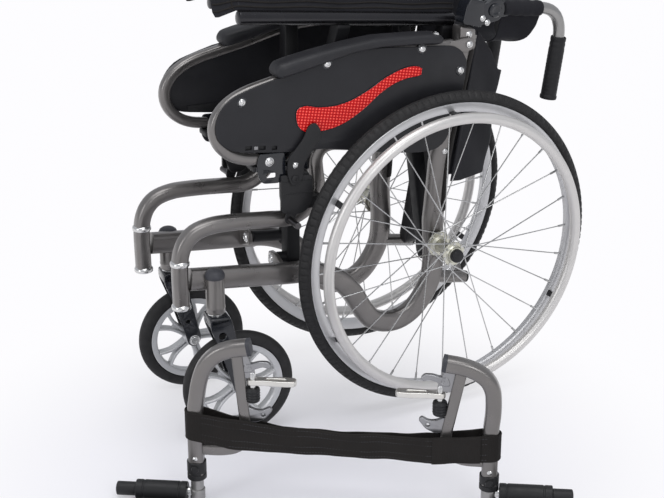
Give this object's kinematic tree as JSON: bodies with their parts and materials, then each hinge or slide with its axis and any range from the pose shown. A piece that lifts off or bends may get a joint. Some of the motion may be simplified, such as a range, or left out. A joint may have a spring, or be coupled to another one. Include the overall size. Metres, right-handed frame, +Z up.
{
  "type": "folding wheelchair",
  "caption": "Self-propelled folding wheelchair, folded, with large spoked rear wheels, handrims, front casters, armrests and a pair of detached leg supports joined by a calf strap.",
  "frame": {"origin": "middle of the footprint of all solids, on the floor", "axes": "+X towards the chair's left side, -Y towards its front, +Z up"},
  "size_m": [0.951, 1.053, 0.9553],
  "materials": {
    "frame_paint": "satin",
    "scissor_paint": "satin",
    "dark_plastic": "matte",
    "cane_paint": "satin",
    "pad_foam": "leather grain",
    "panel_plastic": "matte",
    "reflector_red": "reflective mesh",
    "tyre_rubber": "matte",
    "rim_metal": "satin",
    "handrim_metal": "satin",
    "caster_plastic": "satin",
    "lever_steel": "satin",
    "cloth": "woven"
  },
  "bodies": {
    "left_frame": {"left_side_frame": "frame_paint", "left_front_frame": "frame_paint", "left_back_hinge": "dark_plastic", "left_brake_body": "dark_plastic"},
    "right_frame": {"right_side_frame": "frame_paint", "right_front_frame": "frame_paint", "right_back_hinge": "dark_plastic", "right_brake_body": "dark_plastic"},
    "brace_a": {"brace_a": "scissor_paint"},
    "brace_b": {"brace_b": "scissor_paint"},
    "leg_set": {"left_leg_hanger": "frame_paint", "right_leg_hanger": "frame_paint", "calf_strap": "cloth"},
    "left_seat_cloth": {"left_seat_cloth": "cloth"},
    "left_back_outer": {"left_back_cloth_outer": "cloth"},
    "left_back_inner": {"left_back_cloth_inner": "cloth"},
    "left_cane": {"left_push_handle": "cane_paint", "left_push_grip": "dark_plastic"},
    "left_top_outer": {"left_top_cloth_outer": "cloth"},
    "left_top_inner": {"left_top_cloth_inner": "cloth"},
    "left_rear_wheel": {"left_rear_tyre": "tyre_rubber", "left_rear_rim": "rim_metal", "left_handrim": "handrim_metal", "left_hub_and_spokes": "handrim_metal"},
    "left_caster_fork": {"left_caster_fork": "dark_plastic"},
    "left_caster_wheel": {"left_caster_wheel": "caster_plastic", "left_caster_tyre": "tyre_rubber"},
    "left_brake_lever": {"left_brake_lever": "lever_steel"},
    "left_brake_shoe": {"left_brake_shoe": "lever_steel"},
    "left_armrest": {"left_armrest_tube": "frame_paint", "left_arm_pad": "pad_foam", "left_side_panel": "panel_plastic", "left_reflector": "reflector_red"},
    "right_seat_cloth": {"right_seat_cloth": "cloth"},
    "right_back_outer": {"right_back_cloth_outer": "cloth"},
    "right_back_inner": {"right_back_cloth_inner": "cloth"},
    "right_cane": {"right_push_handle": "cane_paint", "right_push_grip": "dark_plastic"},
    "right_top_outer": {"right_top_cloth_outer": "cloth"},
    "right_top_inner": {"right_top_cloth_inner": "cloth"},
    "right_rear_wheel": {"right_rear_tyre": "tyre_rubber", "right_rear_rim": "rim_metal", "right_handrim": "handrim_metal", "right_hub_and_spokes": "handrim_metal"},
    "right_caster_fork": {"right_caster_fork": "dark_plastic"},
    "right_caster_wheel": {"right_caster_wheel": "caster_plastic", "right_caster_tyre": "tyre_rubber"},
    "right_brake_lever": {"right_brake_lever": "lever_steel"},
    "right_brake_shoe": {"right_brake_shoe": "lever_steel"},
    "right_armrest": {"right_armrest_tube": "frame_paint", "right_arm_pad": "pad_foam", "right_side_panel": "panel_plastic", "right_reflector": "reflector_red"},
    "left_leg_extension": {"left_leg_extension": "cane_paint"},
    "left_footplate": {"left_footplate": "dark_plastic"},
    "left_latch": {"left_latch_lever": "lever_steel"},
    "right_leg_extension": {"right_leg_extension": "cane_paint"},
    "right_footplate": {"right_footplate": "dark_plastic"},
    "right_latch": {"right_latch_lever": "lever_steel"}
  },
  "joints": [
    {"name": "fold", "type": "hinge", "parent": "left_frame", "child": "brace_a", "pos_m": [-0.21846, 0.22149, 0.272], "axis": [0, -0.9925, 0.1219], "range_deg": [0, 42.65]},
    {"name": "cross", "type": "hinge", "parent": "brace_a", "child": "brace_b", "pos_m": [-0.27546, 0.22149, 0.48771], "axis": [0, -0.9925, 0.1219], "range_deg": [-85.31, 0]},
    {"name": "right_side", "type": "hinge", "parent": "brace_b", "child": "right_frame", "pos_m": [-0.33246, 0.22149, 0.272], "axis": [0, -0.9925, 0.1219], "range_deg": [0, 42.66]},
    {"name": "left_seat", "type": "hinge", "parent": "brace_b", "child": "left_seat_cloth", "pos_m": [-0.21346, 0.22149, 0.72235], "axis": [0, -0.9925, 0.1219], "range_deg": [0, 114.92], "deforming": ["left_seat_cloth"]},
    {"name": "right_seat", "type": "hinge", "parent": "brace_a", "child": "right_seat_cloth", "pos_m": [-0.33746, 0.22149, 0.72235], "axis": [0, -0.9925, 0.1219], "range_deg": [-114.92, 0], "deforming": ["right_seat_cloth"]},
    {"name": "left_back_outer", "type": "hinge", "parent": "left_frame", "child": "left_back_outer", "pos_m": [-0.17146, 0.27549, 0.54], "axis": [0, 0.1696, 0.9855], "range_deg": [0, 61.73], "deforming": ["left_back_cloth_outer"]},
    {"name": "left_back_inner", "type": "hinge", "parent": "left_back_outer", "child": "left_back_inner", "pos_m": [-0.23546, 0.39263, 0.51984], "axis": [0, 0.1696, 0.9855], "range_deg": [-127.93, 0], "deforming": ["left_back_cloth_inner"]},
    {"name": "left_back_fold", "type": "hinge", "parent": "left_frame", "child": "left_cane", "pos_m": [-0.17146, 0.32949, 0.739], "axis": [1, 0, 0], "range_deg": [0, 87]},
    {"name": "left_top_outer", "type": "hinge", "parent": "left_cane", "child": "left_top_outer", "pos_m": [-0.17146, 0.40149, 0.7322], "axis": [0, 0.9905, -0.1374], "range_deg": [0, 63.74], "deforming": ["left_top_cloth_outer"]},
    {"name": "left_top_inner", "type": "hinge", "parent": "left_top_outer", "child": "left_top_inner", "pos_m": [-0.22346, 0.38708, 0.62838], "axis": [0, 0.9905, -0.1374], "range_deg": [-127.42, 0], "deforming": ["left_top_cloth_inner"]},
    {"name": "left_wheel", "type": "hinge", "parent": "left_frame", "child": "left_rear_wheel", "pos_m": [-0.12346, 0.22149, 0.305], "axis": [1, 0, 0], "continuous": true},
    {"name": "left_caster_swivel", "type": "hinge", "parent": "left_frame", "child": "left_caster_fork", "pos_m": [-0.16346, -0.22851, 0.25], "axis": [0, 0, 1], "continuous": true},
    {"name": "left_caster_spin", "type": "hinge", "parent": "left_caster_fork", "child": "left_caster_wheel", "pos_m": [-0.15949, -0.19072, 0.104], "axis": [0.9945, -0.1045, 0], "continuous": true},
    {"name": "left_brake", "type": "hinge", "parent": "left_frame", "child": "left_brake_lever", "pos_m": [-0.13976, -0.08151, 0.489], "axis": [1, 0, 0], "range_deg": [0, 50]},
    {"name": "left_brake_shoe", "type": "hinge", "parent": "left_frame", "child": "left_brake_shoe", "pos_m": [-0.14526, -0.06951, 0.47], "axis": [1, 0, 0], "range_deg": [0, 13.01]},
    {"name": "left_armrest", "type": "hinge", "parent": "left_frame", "child": "left_armrest", "pos_m": [-0.15246, 0.27449, 0.684], "axis": [-1, 0, 0], "range_deg": [0, 45]},
    {"name": "right_back_outer", "type": "hinge", "parent": "right_frame", "child": "right_back_outer", "pos_m": [-0.37946, 0.27549, 0.54], "axis": [0, -0.1696, -0.9855], "range_deg": [0, 61.73], "deforming": ["right_back_cloth_outer"]},
    {"name": "right_back_inner", "type": "hinge", "parent": "right_back_outer", "child": "right_back_inner", "pos_m": [-0.31546, 0.39263, 0.51984], "axis": [0, -0.1696, -0.9855], "range_deg": [-127.93, 0], "deforming": ["right_back_cloth_inner"]},
    {"name": "right_back_fold", "type": "hinge", "parent": "right_frame", "child": "right_cane", "pos_m": [-0.37946, 0.32949, 0.739], "axis": [1, 0, 0], "range_deg": [0, 87.01]},
    {"name": "right_top_outer", "type": "hinge", "parent": "right_cane", "child": "right_top_outer", "pos_m": [-0.37946, 0.40149, 0.7322], "axis": [0, -0.9905, 0.1374], "range_deg": [0, 63.74], "deforming": ["right_top_cloth_outer"]},
    {"name": "right_top_inner", "type": "hinge", "parent": "right_top_outer", "child": "right_top_inner", "pos_m": [-0.32746, 0.38708, 0.62838], "axis": [0, -0.9905, 0.1374], "range_deg": [-127.42, 0], "deforming": ["right_top_cloth_inner"]},
    {"name": "right_wheel", "type": "hinge", "parent": "right_frame", "child": "right_rear_wheel", "pos_m": [-0.42746, 0.22149, 0.305], "axis": [1, 0, 0], "continuous": true},
    {"name": "right_caster_swivel", "type": "hinge", "parent": "right_frame", "child": "right_caster_fork", "pos_m": [-0.38746, -0.22851, 0.25], "axis": [0, 0, 1], "continuous": true},
    {"name": "right_caster_spin", "type": "hinge", "parent": "right_caster_fork", "child": "right_caster_wheel", "pos_m": [-0.38349, -0.19072, 0.104], "axis": [0.9945, -0.1045, 0], "continuous": true},
    {"name": "right_brake", "type": "hinge", "parent": "right_frame", "child": "right_brake_lever", "pos_m": [-0.41116, -0.08151, 0.489], "axis": [1, 0, 0], "range_deg": [0, 50]},
    {"name": "right_brake_shoe", "type": "hinge", "parent": "right_frame", "child": "right_brake_shoe", "pos_m": [-0.40566, -0.06951, 0.47], "axis": [1, 0, 0], "range_deg": [0, 13.01]},
    {"name": "right_armrest", "type": "hinge", "parent": "right_frame", "child": "right_armrest", "pos_m": [-0.39846, 0.27449, 0.684], "axis": [-1, 0, 0], "range_deg": [0, 45]},
    {"name": "leg_set_lift", "type": "slide", "parent": "left_frame", "child": "leg_set", "axis": [0, 0, 1], "range_m": [0, 0.3]},
    {"name": "left_leg_length", "type": "slide", "parent": "leg_set", "child": "left_leg_extension", "axis": [0, 0, -1], "range_m": [0, 0.08]},
    {"name": "left_footplate", "type": "hinge", "parent": "left_leg_extension", "child": "left_footplate", "pos_m": [0.31898, 0.1216, 0.043], "axis": [-0.5331, -0.8461, 0], "range_deg": [0, 85]},
    {"name": "left_latch", "type": "hinge", "parent": "leg_set", "child": "left_latch", "pos_m": [0.24062, -0.00277, 0.224], "axis": [0, 0, 1], "range_deg": [0, 25], "stiffness_Nm_per_rad": 0.3},
    {"name": "right_leg_length", "type": "slide", "parent": "leg_set", "child": "right_leg_extension", "axis": [0, 0, -1], "range_m": [0, 0.08]},
    {"name": "right_footplate", "type": "hinge", "parent": "right_leg_extension", "child": "right_footplate", "pos_m": [-0.00991, -0.40043, 0.017], "axis": [-0.5331, -0.8461, 0], "range_deg": [0, 85]},
    {"name": "right_latch", "type": "hinge", "parent": "leg_set", "child": "right_latch", "pos_m": [0.07537, -0.26506, 0.234], "axis": [0, 0, 1], "range_deg": [0, 25], "stiffness_Nm_per_rad": 0.3}
  ],
  "couplings": [
    {"joint": "cross", "follows": "fold", "ratio": -2},
    {"joint": "right_side", "follows": "fold", "ratio": 1},
    {"joint": "left_seat", "follows": "fold", "ratio": 2.694},
    {"joint": "right_seat", "follows": "fold", "ratio": -2.694},
    {"joint": "left_back_outer", "follows": "fold", "ratio": 1.447},
    {"joint": "left_back_inner", "follows": "fold", "ratio": -2.999},
    {"joint": "left_top_outer", "follows": "fold", "ratio": 1.494},
    {"joint": "left_top_inner", "follows": "fold", "ratio": -2.987},
    {"joint": "left_brake_shoe", "follows": "left_brake", "ratio": 0.26},
    {"joint": "right_back_outer", "follows": "fold", "ratio": 1.447},
    {"joint": "right_back_inner", "follows": "fold", "ratio": -2.999},
    {"joint": "right_back_fold", "follows": "left_back_fold", "ratio": 1},
    {"joint": "right_top_outer", "follows": "fold", "ratio": 1.494},
    {"joint": "right_top_inner", "follows": "fold", "ratio": -2.987},
    {"joint": "right_brake_shoe", "follows": "right_brake", "ratio": 0.26}
  ]
}
